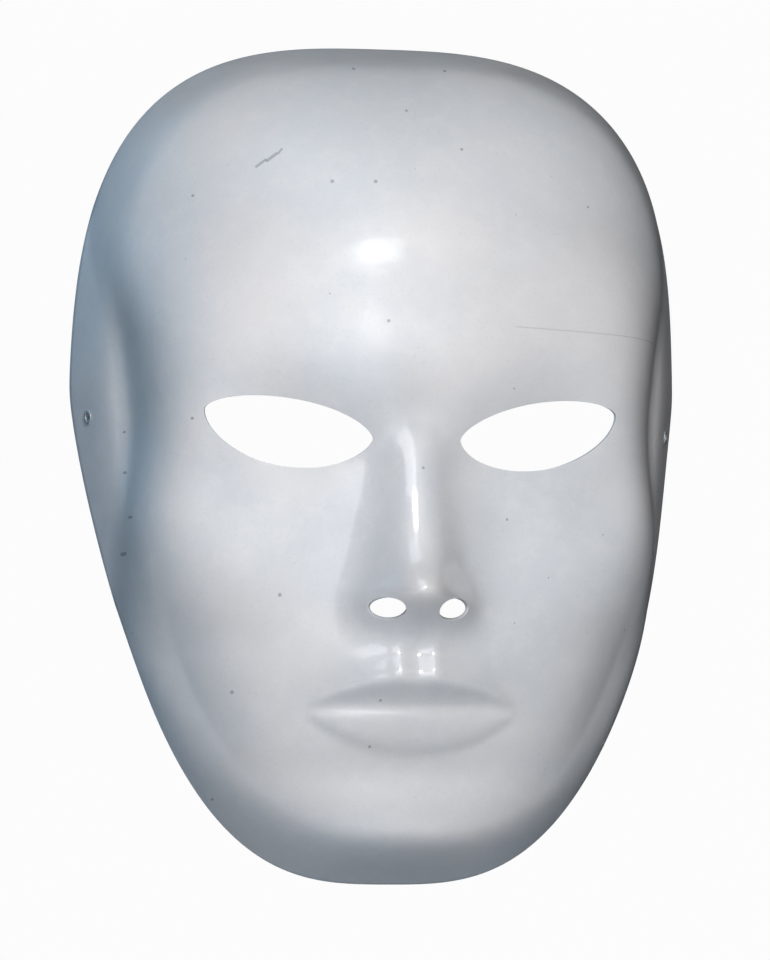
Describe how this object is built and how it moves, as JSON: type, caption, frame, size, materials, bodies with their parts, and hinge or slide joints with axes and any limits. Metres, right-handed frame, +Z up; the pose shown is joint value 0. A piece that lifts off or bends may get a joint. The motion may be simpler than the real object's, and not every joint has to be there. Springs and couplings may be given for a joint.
{
  "type": "blank full-face mask",
  "caption": "Blank full-face costume mask: a thin domed shell with plain features, almond eye openings, nostril openings and eyeleted cord holes at the sides.",
  "frame": {"origin": "midway between the two cord holes, where the wearer's head comes in from behind", "axes": "+Z up as worn, -Y the way the face looks, +X to the viewer's right"},
  "size_m": [0.18, 0.0806, 0.2445],
  "materials": {
    "white_sheet_plastic": "satin-gloss off-white thermoformed sheet, faint speckle",
    "pale_eyelet": "pale enamelled metal, semi-gloss"
  },
  "bodies": {
    "root": {"face_shell": "white_sheet_plastic", "left_eyelet": "pale_eyelet", "right_eyelet": "pale_eyelet", "left_eyelet_washer": "pale_eyelet", "right_eyelet_washer": "pale_eyelet"}
  },
  "joints": []
}
